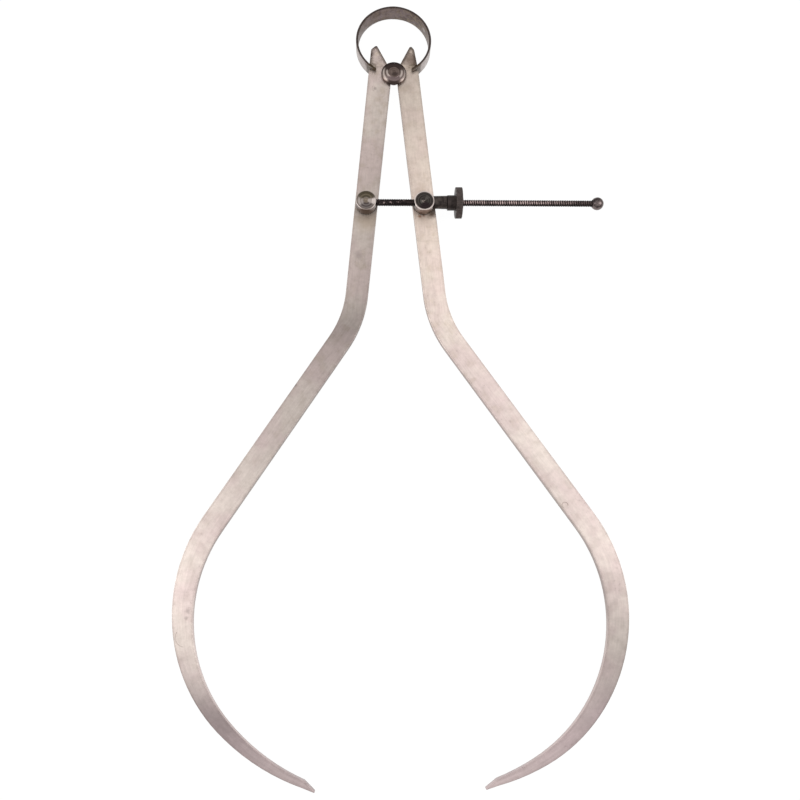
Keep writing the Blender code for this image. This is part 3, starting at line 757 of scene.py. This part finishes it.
class SpringFinish(Finish):
    """Browned spring steel: dark rims, a dull inner face and a rubbed, lighter outer one."""

    def __init__(self, name):
        super().__init__(name, metallic=0.9)
        normal = self.facing()
        cloud = self.noise(SPRING_CLOUD_SIZE, detail=4.0, rough=0.6)
        blotch = self.noise(SPRING_BLOTCH_SIZE, detail=4.0, rough=0.65)
        fine = self.noise(SPRING_FINE_SIZE, detail=2.0)
        place = self.vector_math("SUBTRACT", self.spot, SPRING_CENTRE)
        x, y, _ = self.split(place)

        inner = self.mix(self.ramp(cloud, 0.42, 0.56), SPRING_MAUVE, SPRING_BROWN)
        tan = self.times(self.ramp(x, *SPRING_TAN_REACH, 0.3, 0.85), self.ramp(blotch, 0.45, 0.58))
        inner = self.mix(tan, inner, SPRING_OLIVE)
        inner = self.shade(inner, self.ramp(blotch, 0.35, 0.65, 0.8, 1.08))
        away = self.vector_math("DISTANCE", place, SPRING_FLECK)
        inner = self.mix(self.ramp(away, *SPRING_FLECK_REACH, to_high=0.55), inner, SPRING_RUBBED)

        outer = self.mix(self.ramp(cloud, 0.4, 0.75, to_high=0.8), SPRING_RUBBED, SPRING_MAUVE)
        outwards = self.vector_math("NORMALIZE", self.vector_math("MULTIPLY", place, (1, 1, 0)))
        is_outer = self.ramp(self.vector_math("DOT_PRODUCT", outwards, normal), -0.2, 0.2)
        colour = self.mix(is_outer, inner, outer)

        rim = self.ramp(self.math("ABSOLUTE", self.split(normal)[2]), 0.45, 0.8, to_high=0.92)
        colour = self.mix(rim, colour, SPRING_RIM)
        colour = self.mix(self.ramp(fine, 0.55, 0.75, to_high=0.3), colour, SPRING_RIM)
        prong = self.times(self.ramp(y, *PRONG_REACH), self.ramp(blotch, 0.35, 0.65, 0.95, 0.55))
        self.set("Base Color", self.mix(prong, colour, PRONG_BROWN))
        self.set("Roughness", self.ramp(blotch, 0.3, 0.7, 0.34, 0.5))
        self.set("Normal", self.bump(self.math("ADD", fine, blotch), SPRING_RELIEF, 0.4))


class TurnedFinish(Finish):
    """Turned steel about the piece's own Z: fine rings, patches of patina, soft zones and fans of colour,
    some of them painted highlights and painted shade.
    """

    def __init__(self, name, bright, dark, roughness, ring, radius=0.0, zones=(), fans=(), metallic=1.0):
        super().__init__(name, metallic)
        self.x, self.y, self.z = self.split(self.spot)
        self.away = self.vector_math("LENGTH", self.join(self.x, self.y, 0.0))
        patches = self.noise(PATCH_SIZE, detail=4.0, rough=0.6)
        fine = self.noise(FINE_SIZE, detail=2.0)
        ring_place = self.join(self.times(self.away, 1 / ring), self.times(self.z, 1 / ring), 0.0)
        rings = self.noise(1.0, rough=0.7, vector=ring_place)

        colour = self.mix(self.ramp(patches, 0.38, 0.66), bright, dark)
        for inner, outer, low, high, zone_colour, strength in zones:
            share = self.times(
                strength,
                self.between(self.away, inner * radius, outer * radius, ZONE_SOFTNESS),
                self.between(self.z, low, high, ZONE_SOFTNESS),
            )
            colour = self.mix(share, colour, zone_colour)
        for inner, outer, heading, spread, fan_colour, strength in fans:
            share = self.times(
                strength,
                self.towards(self.spot, self.away, heading, spread, spread / 3),
                self.between(self.away, inner * radius, outer * radius, FAN_SOFTNESS),
            )
            colour = self.mix(share, colour, fan_colour)
        self.colour = self.shade(colour, self.ramp(rings, 0.35, 0.65, 0.76, 1.06))
        self.set("Base Color", self.colour)
        self.set("Roughness", self.ramp(patches, 0.3, 0.7, *roughness))
        relief = self.math("ADD", rings, self.times(fine, 0.1))
        self.set("Normal", self.bump(relief, TURNED_RELIEF, 0.4))

    def between(self, value, low, high, softness):
        rising = self.ramp(value, low - softness, low + softness)
        return self.times(rising, self.ramp(value, high + softness, high - softness))


class ScrewFinish(TurnedFinish):
    """Blackened steel whose crests are rubbed bright, shown as painted highlights on the front side only, in
    flecks, most where the nut has run.
    """

    def __init__(self, name):
        super().__init__(name, SCREW_DARK, SCREW_BLACK, roughness=(0.3, 0.46), ring=DARK_RING)
        crest = SCREW_RADIUS + WORN_THREAD_RISE
        on_crest = self.ramp(self.away, crest - THREAD_DEPTH * 0.7, crest - THREAD_DEPTH * 0.2)
        # painted highlight: the crests are bright only on the front side, which faces the lamps
        on_front = self.ramp(self.x, -0.5 * SCREW_RADIUS, -0.95 * SCREW_RADIUS)
        strength = self.ramp(self.z, NUT_PLACE - CREST_FADE, NUT_PLACE, 0.55)
        flecks = self.noise(FLECK_SIZE, rough=0.7)
        few = self.ramp(flecks, 0.56, 0.7)
        many = self.ramp(flecks, 0.38, 0.62, 0.3)
        fading = self.ramp(self.z, NUT_PLACE + FLECK_FADE_START, NUT_PLACE + FLECK_FADE_END, 1.0, 0.35)
        more = self.math("SUBTRACT", self.times(many, fading), few)
        worn = self.ramp(self.z, NUT_PLACE - CREST_FADE, NUT_PLACE)
        share = self.times(on_crest, on_front, strength, self.math("MULTIPLY_ADD", worn, more, few))
        self.set("Base Color", self.mix(share, self.colour, SCREW_CREST))


# Piece building


def turned(profile, sides=TURNED_SIDES, closed=False, lobes=None):
    """A bmesh turned about Z from (radius, height) points; lobes(index, radius, angle) changes a radius."""
    body = bmesh.new()
    rings = []
    for index, (radius, height) in enumerate(profile):
        if radius < MERGE_DISTANCE:
            rings.append([body.verts.new((0, 0, height))] * sides)
            continue
        ring = []
        for side in range(sides):
            angle = math.tau * (side + 0.5) / sides
            reach = lobes(index, radius, angle) if lobes else radius
            ring.append(body.verts.new((reach * math.cos(angle), reach * math.sin(angle), height)))
        rings.append(ring)
    following = rings[1:] + rings[:1] if closed else rings[1:]
    for lower, upper in zip(rings, following):
        for side in range(sides):
            ahead = (side + 1) % sides
            corners = [lower[side], lower[ahead], upper[ahead], upper[side]]
            body.faces.new(list(dict.fromkeys(corners)))
    bmesh.ops.recalc_face_normals(body, faces=body.faces)
    return body


def lofted(sections):
    """A bmesh through cross-sections of equally many points, closed at both ends."""
    body = bmesh.new()
    rings = [[body.verts.new(point) for point in section] for section in sections]
    for lower, upper in zip(rings, rings[1:]):
        for index in range(len(lower)):
            ahead = (index + 1) % len(lower)
            body.faces.new([lower[index], lower[ahead], upper[ahead], upper[index]])
    body.faces.new(rings[0][::-1])
    body.faces.new(rings[-1])
    bmesh.ops.recalc_face_normals(body, faces=body.faces)
    return body


def add_piece(name, body, finish=None):
    """An object from a bmesh, with smooth round faces and sharp corners."""
    mesh = bpy.data.meshes.new(name)
    body.to_mesh(mesh)
    body.free()
    piece = bpy.data.objects.new(name, mesh)
    bpy.context.collection.objects.link(piece)
    if finish:
        mesh.materials.append(finish.material)
    soften(piece)
    return piece


def soften(piece):
    piece.data.shade_smooth()
    piece.data.set_sharp_from_angle(angle=SMOOTH_ANGLE)


def cut(piece, cutter):
    """Subtract a closed object from a piece for good, and throw the cutter away."""
    boolean = piece.modifiers.new("cut", "BOOLEAN")
    boolean.operation = "DIFFERENCE"
    boolean.solver = "EXACT"
    boolean.object = cutter
    bpy.context.view_layer.update()
    evaluated = piece.evaluated_get(bpy.context.evaluated_depsgraph_get())
    mesh = bpy.data.meshes.new_from_object(evaluated)
    piece.modifiers.clear()
    piece.data = mesh
    bpy.data.objects.remove(cutter)
    soften(piece)


def lay_along_x(piece, *start):
    """Turn a piece's own Z to +X, from a start."""
    piece.rotation_euler = (0, QUARTER, 0)
    piece.location = start


def grooved(height, reach, grooves):
    """The height at a reach from the axis, lowered by rounded (radius, half width, depth) grooves."""
    for groove, width, depth in grooves:
        height -= depth * math.exp(-((reach - groove) / width) ** 2)
    return height


def stand_for(piece, node, body):
    """The piece takes a node's place, which is hidden, and rides on a body."""
    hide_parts(node)
    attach(piece, body)


# Pieces


def dress(node, finish):
    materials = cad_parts[node].data.materials
    materials.clear()
    materials.append(finish.material)


def dress_legs():
    dress("left_leg", LegFinish("left_leg_steel", LEFT_LOOK))
    dress("right_leg", LegFinish("right_leg_steel", RIGHT_LOOK))


def dress_washers():
    for node in ("left_post_washer", "right_post_washer"):
        finish = TurnedFinish(node + "_steel", POST_GREY, POST_DULL, roughness=(0.24, 0.4), ring=WASHER_RING)
        dress(node, finish)


def make_stud():
    """The fulcrum stud with its turned, domed head."""
    low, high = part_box("fulcrum_stud")
    radius = (high.x - low.x) / 2
    seat = LEG_FRONT + STUD_SEAT_GAP
    profile = [(0, low.z), (STUD_END_RADIUS - STUD_END_CHAMFER, low.z)]
    profile += [(STUD_END_RADIUS, low.z + STUD_END_CHAMFER), (STUD_END_RADIUS, LEG_BACK - SEAT_GAP)]
    profile += [(STUD_WAIST_RADIUS, LEG_BACK - SEAT_GAP), (STUD_WAIST_RADIUS, seat), (STUD_SEAT_RADIUS, seat)]
    for step in range(STUD_DOME_STEPS + 1):
        turn = QUARTER * step / STUD_DOME_STEPS
        reach = radius * math.cos(turn)
        height = STUD_CROWN + STUD_DOME_HEIGHT * math.sin(turn)
        profile.append((reach if step < STUD_DOME_STEPS else 0, grooved(height, reach, STUD_GROOVES)))
    finish = TurnedFinish(
        "stud_steel", STUD_GREY, STUD_BROWN, roughness=(0.22, 0.3), ring=STUD_RING,
        radius=radius, zones=STUD_ZONES, fans=STUD_FANS,
    )
    stud = add_piece("fulcrum_stud_turned", turned(profile), finish)
    stud.location = ((low.x + high.x) / 2, (low.y + high.y) / 2, 0)
    stand_for(stud, "fulcrum_stud", "fulcrum")


def post_profile(radius, back, top, face_rings, dish):
    """Profile of a swivel post from its riveted end to its dished and ringed front."""
    washer_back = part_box("left_post_washer")[0].z
    seat = LEG_FRONT + SEAT_GAP
    profile = [(0, back), (RIVET_RADIUS - RIVET_CHAMFER, back), (RIVET_RADIUS, back + RIVET_CHAMFER)]
    profile += [(RIVET_RADIUS, washer_back - SEAT_GAP), (POST_SHANK_RADIUS, washer_back - SEAT_GAP)]
    profile += [(POST_SHANK_RADIUS, seat), (radius - POST_SEAT_CHAMFER, seat)]
    profile += [(radius, seat + POST_SEAT_CHAMFER), (radius, top - POST_CHAMFER)]
    profile += [(radius - POST_CHAMFER * 0.3, top - POST_CHAMFER * 0.3), (radius - POST_CHAMFER, top)]
    face_radius = radius - POST_CHAMFER - DISH_MARGIN
    for step in range(POST_FACE_STEPS + 1):
        reach = face_radius * (1 - step / POST_FACE_STEPS)
        height = top - dish * (1 - (reach / face_radius) ** DISH_POWER)
        profile.append((reach, grooved(height, reach, face_rings)))
    return profile


def make_post(node, face_rings, dish, through, **finish_values):
    """A swivel post with the screw's bore, right through it or ending where the screw ends."""
    low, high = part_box(node)
    centre = (low + high) / 2
    radius = (high.x - low.x) / 2 + POST_SPREAD
    profile = post_profile(radius, low.z, high.z + POST_LIFT, face_rings, dish)
    finish = TurnedFinish(node + "_steel", ring=POST_RING, radius=radius, **finish_values)
    post = add_piece(node + "_turned", turned(profile), finish)
    post.location = (centre.x, centre.y, 0)
    start = centre.x - radius - CUT_OVERRUN if through else SCREW_LOW.x - SEAT_GAP
    length = centre.x + radius + CUT_OVERRUN - start
    bore_profile = [(0, 0), (SCREW_BORE_RADIUS, 0), (SCREW_BORE_RADIUS, length), (0, length)]
    bore = add_piece("bore", turned(bore_profile, SMALL_SIDES))
    lay_along_x(bore, start, centre.y, SCREW_CENTRE.z)
    cut(post, bore)
    stand_for(post, node, node)


def make_posts():
    make_post(
        "left_post", LEFT_POST_RINGS, LEFT_POST_DISH, through=False, bright=POST_GREY, dark=POST_DULL,
        roughness=(0.24, 0.34), zones=LEFT_POST_ZONES, fans=LEFT_POST_FANS,
    )
    make_post(
        "right_post", RIGHT_POST_RINGS, RIGHT_POST_DISH, through=True, bright=POST_ROSY, dark=POST_WALL,
        roughness=(0.22, 0.32), zones=RIGHT_POST_ZONES, fans=RIGHT_POST_FANS,
    )


def make_screw():
    """The adjusting screw, threaded from end to end, with crests worn down where the nut has run."""
    length = SCREW_HIGH.x - SCREW_LOW.x
    count = math.ceil(length / THREAD_PITCH * THREAD_SAMPLES)
    sections = []
    for step in range(count + 1):
        height = length * step / count
        worn = min(1.0, max(0.0, (height - WORN_THREAD_START) / THREAD_PITCH))
        crest = SCREW_RADIUS + THREAD_RISE + (WORN_THREAD_RISE - THREAD_RISE) * worn
        to_end = min(1.0, min(height, length - height) / THREAD_END_LENGTH)
        section = []
        for side in range(THREAD_SIDES):
            angle = math.tau * side / THREAD_SIDES
            phase = (height / THREAD_PITCH - side / THREAD_SIDES) % 1
            flank = min(1.0, max(0.0, abs(phase - 0.5) * THREAD_FLANK_SLOPE - THREAD_CREST_FLAT))
            reach = (crest - THREAD_DEPTH * flank) * (THREAD_END_SHARE + (1 - THREAD_END_SHARE) * to_end)
            section.append((reach * math.cos(angle), reach * math.sin(angle), height))
        sections.append(section)
    screw = add_piece("adjusting_screw_threaded", lofted(sections), ScrewFinish("screw_steel"))
    lay_along_x(screw, SCREW_LOW.x, SCREW_CENTRE.y, SCREW_CENTRE.z)
    stand_for(screw, "adjusting_screw", "left_post")


def make_ball():
    """The ball at the screw's end, with the mouth that the screw enters."""
    low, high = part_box("screw_ball")
    centre = (low + high) / 2
    radius = (high.y - low.y) / 2
    mouth = math.acos(SCREW_BORE_RADIUS / radius)
    turns = [-mouth + (QUARTER + mouth) * step / BALL_STEPS for step in range(BALL_STEPS)]
    profile = [(0, SEAT_GAP), (SCREW_BORE_RADIUS, SEAT_GAP)]
    profile += [(radius * math.cos(turn), radius * math.sin(turn)) for turn in turns]
    profile += [(0, radius)]
    finish = TurnedFinish("ball_steel", BALL_BRIGHT, BALL_DARK, roughness=(0.2, 0.36), ring=STUD_RING)
    ball = add_piece("screw_ball_turned", turned(profile, SMALL_SIDES), finish)
    lay_along_x(ball, high.x - radius, centre.y, centre.z)
    stand_for(ball, "screw_ball", "left_post")


def make_sleeve():
    """The thrust sleeve, whose saddle end fits round the right post."""
    low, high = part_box("thrust_sleeve")
    centre = (low + high) / 2
    post_low, post_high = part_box("right_post")
    post_centre = (post_low + post_high) / 2
    bore = SCREW_BORE_RADIUS + SLEEVE_PLAY
    start_radius = (high.z - low.z) / 2 - SLEEVE_TAPER
    end_radius = (high.z - low.z) / 2 + SLEEVE_FLARE
    length = high.x - post_centre.x + SEAT_GAP - NUT_SEAT_GAP
    profile = [(bore, 0), (start_radius, 0), (end_radius, length - SLEEVE_CHAMFER)]
    profile += [(end_radius - SLEEVE_CHAMFER, length), (bore, length)]
    finish = TurnedFinish("sleeve_steel", SLEEVE_BROWN, SLEEVE_DARK, roughness=(0.3, 0.45), ring=DARK_RING)
    sleeve = add_piece("thrust_sleeve_turned", turned(profile, closed=True), finish)
    lay_along_x(sleeve, post_centre.x, centre.y + SLEEVE_PLAY, centre.z)
    reach = (post_high.x - post_low.x) / 2 + SEAT_GAP
    bottom = low.z - CUT_OVERRUN
    top = high.z + CUT_OVERRUN
    saddle = add_piece("saddle", turned([(0, bottom), (reach, bottom), (reach, top), (0, top)]))
    saddle.location = (post_centre.x, post_centre.y, 0)
    cut(sleeve, saddle)
    stand_for(sleeve, "thrust_sleeve", "right_post")


def make_nut():
    """The adjusting nut: a disc with a straight knurl, a hub and a low boss."""
    low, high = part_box("adjusting_nut")
    centre = (low + high) / 2
    length = high.x - low.x
    radius = (high.z - low.z) / 2
    rim = radius - NUT_DISC_CHAMFER
    corner = radius - NUT_DISC_CHAMFER / 3
    disc = NUT_HUB_LENGTH
    disc_end = disc + NUT_DISC_THICKNESS
    profile = [  # radius, height and share of the knurl's depth
        (SCREW_BORE_RADIUS, NUT_BORE_CHAMFER, 0),
        (SCREW_BORE_RADIUS + NUT_BORE_CHAMFER, 0, 0),
        (NUT_HUB_RADIUS - NUT_HUB_CHAMFER, 0, 0),
        (NUT_HUB_RADIUS, NUT_HUB_CHAMFER, 0),
        (NUT_HUB_RADIUS, disc - NUT_HUB_FILLET, 0),
        (NUT_HUB_RADIUS + NUT_HUB_FILLET, disc, 0),
        (rim - NUT_FACE_MARGIN, disc, 0),
        (rim, disc + NUT_FACE_FALL, 0),
        (corner, disc + NUT_DISC_CHAMFER * 0.6, 0.5),
        (radius, disc + NUT_DISC_CHAMFER, 1),
        (radius, disc_end - NUT_DISC_CHAMFER, 1),
        (corner, disc_end - NUT_DISC_CHAMFER * 0.6, 0.5),
        (rim, disc_end - NUT_FACE_FALL, 0),
        (rim - NUT_FACE_MARGIN, disc_end, 0),
        (NUT_BOSS_RADIUS, disc_end, 0),
        (NUT_BOSS_RADIUS - NUT_BOSS_DRAFT, length, 0),
        (SCREW_BORE_RADIUS + NUT_BORE_CHAMFER, length, 0),
        (SCREW_BORE_RADIUS, length - NUT_BORE_CHAMFER, 0),
    ]

    def knurl(index, reach, angle):
        wave = abs((angle / math.tau * KNURL_TEETH) % 1 - 0.5) * 2
        return reach - KNURL_DEPTH * profile[index][2] * wave

    outline = [(reach, height) for reach, height, _ in profile]
    body = turned(outline, sides=KNURL_TEETH * KNURL_SAMPLES, closed=True, lobes=knurl)
    finish = TurnedFinish(
        "nut_steel", NUT_BROWN, NUT_DARK, roughness=(0.38, 0.55), ring=DARK_RING,
        radius=radius, zones=NUT_ZONES, metallic=0.85,
    )
    nut = add_piece("adjusting_nut_knurled", body, finish)
    lay_along_x(nut, low.x, centre.y, centre.z)
    stand_for(nut, "adjusting_nut", "nut")


def strip_section(side, turn, thickness, width):
    """One rounded cross-section of the spring's strip, at a turn from the middle of its bow."""
    radial = Vector((side * math.sin(turn), math.cos(turn), 0))
    middle = SPRING_CENTRE + radial * SPRING_MID_RADIUS
    points = []
    for quarter in range(4):
        diagonal = QUARTER * (quarter + 0.5)
        corner_out = math.copysign(thickness / 2 - SPRING_EDGE, math.cos(diagonal))
        corner_up = math.copysign(width / 2 - SPRING_EDGE, math.sin(diagonal))
        for step in range(EDGE_POINTS):
            angle = QUARTER * (quarter + step / (EDGE_POINTS - 1))
            out = corner_out + SPRING_EDGE * math.cos(angle)
            up = corner_up + SPRING_EDGE * math.sin(angle)
            points.append(middle + radial * out + Vector((0, 0, up)))
    return points


def make_spring_half(name, side, slot_angle, finish):
    """Half of the bow spring, from the middle of its bow to the prongs that straddle one leg."""
    count = math.ceil(SPRING_END_TURN / SPRING_STEP)
    sections = []
    for step in range(count):
        width = SPRING_WIDTH + (SPRING_END_WIDTH - SPRING_WIDTH) * step / count
        sections.append(strip_section(side, SPRING_END_TURN * step / count, SPRING_THICKNESS, width))
    bevel = SPRING_END_TURN - PRONG_BEVEL / SPRING_MID_RADIUS
    sections.append(strip_section(side, bevel, SPRING_THICKNESS, SPRING_END_WIDTH))
    tip = SPRING_END_TURN + PRONG_OVERHANG / SPRING_MID_RADIUS
    tip_thickness = SPRING_THICKNESS * PRONG_END_SHARE
    sections.append(strip_section(side, tip, tip_thickness, SPRING_END_WIDTH - PRONG_END_NARROWING))
    half = add_piece(name, lofted(sections), finish)

    slot_width = LEG_FRONT - LEG_BACK + 2 * SEAT_GAP
    slot = [
        strip_section(side, math.pi - slot_angle + step * SPRING_STEP, 4 * SPRING_THICKNESS, slot_width)
        for step in range(SLOT_SECTIONS)
    ]
    cut(half, add_piece("slot", lofted(slot)))

    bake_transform(half)
    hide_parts("bow_spring")


def make_spring():
    finish = SpringFinish("bow_spring_steel")
    make_spring_half("spring_left_half", -1, LEFT_SLOT_ANGLE, finish)
    make_spring_half("spring_right_half", 1, RIGHT_SLOT_ANGLE, finish)


# Studio


def make_floor():
    """A pale floor that shows white and keeps a faint shadow of the caliper."""
    body = bmesh.new()
    corners = [(-1, -1), (1, -1), (1, 1), (-1, 1)]
    body.faces.new([body.verts.new((x * FLOOR_REACH, y * FLOOR_REACH, FLOOR_HEIGHT)) for x, y in corners])
    paper = Finish("floor_paper", metallic=0.0)
    paper.set("Base Color", FLOOR_PAPER)
    paper.set("Roughness", FLOOR_ROUGHNESS)
    glow = paper.nodes.new("ShaderNodeEmission")
    paper.feed(glow.inputs["Strength"], FLOOR_GLOW)
    mixer = paper.nodes.new("ShaderNodeMixShader")
    paper.feed(mixer.inputs[0], paper.times(paper.seen_directly(), FLOOR_GLOW_SHARE))
    paper.feed(mixer.inputs[1], paper.nodes["Principled BSDF"].outputs[0])
    paper.feed(mixer.inputs[2], glow.outputs[0])
    paper.feed(paper.nodes["Material Output"].inputs[0], mixer.outputs[0])
    add_piece("floor", body, paper)


def make_world():
    """White where it is seen, and a soft dome, darker towards the horizon, for what it lights."""
    world = bpy.data.worlds.new("studio")
    world.use_nodes = True
    graph = Graph(world.node_tree)
    direction = graph.nodes.new("ShaderNodeTexCoord").outputs["Generated"]
    tone = graph.ramp(graph.split(direction)[2], DOME_LOW, DOME_HIGH, HORIZON_TONE)
    camera_ray = graph.nodes.new("ShaderNodeLightPath").outputs["Is Camera Ray"]
    background = graph.nodes["Background"].inputs
    graph.feed(background["Color"], graph.math("MAXIMUM", tone, camera_ray))
    graph.feed(background["Strength"], graph.ramp(graph.seen_directly(), 0.0, 1.0, DOME_STRENGTH))
    bpy.context.scene.world = world


def make_softboxes():
    for name, place in SOFTBOX_PLACES.items():
        light = bpy.data.lights.new(name, "AREA")
        light.shape = "RECTANGLE"
        light.size = SOFTBOX_WIDTH
        light.size_y = SOFTBOX_HEIGHT
        light.energy = SOFTBOX_POWER
        lamp = bpy.data.objects.new(name, light)
        bpy.context.collection.objects.link(lamp)
        lamp.location = place
        lamp.rotation_mode = "QUATERNION"
        lamp.rotation_quaternion = (-Vector(place)).to_track_quat("-Z", "Y")


def make_camera():
    """The camera above the caliper, nearer its points, looking slightly up along it."""
    camera = bpy.data.cameras.new("camera")
    camera.sensor_width = SENSOR_WIDTH
    camera.lens = CAMERA_LENS
    camera.clip_start, camera.clip_end = CAMERA_CLIP
    item = bpy.data.objects.new("camera", camera)
    bpy.context.collection.objects.link(item)
    back = Vector(CAMERA_BACK).normalized()
    right = Vector((math.sin(CAMERA_ROLL), math.cos(CAMERA_ROLL), 0)).cross(back).normalized()
    turn = Matrix((right, back.cross(right), back)).transposed()
    item.matrix_world = Matrix.Translation(CAMERA_PLACE) @ turn.to_4x4()
    bpy.context.scene.camera = item
    bpy.context.scene.view_settings.view_transform = "Standard"


def main():
    dress_legs()
    dress_washers()
    make_stud()
    make_spring()
    make_posts()
    make_screw()
    make_ball()
    make_sleeve()
    make_nut()
    make_floor()
    make_world()
    make_softboxes()
    make_camera()


main()
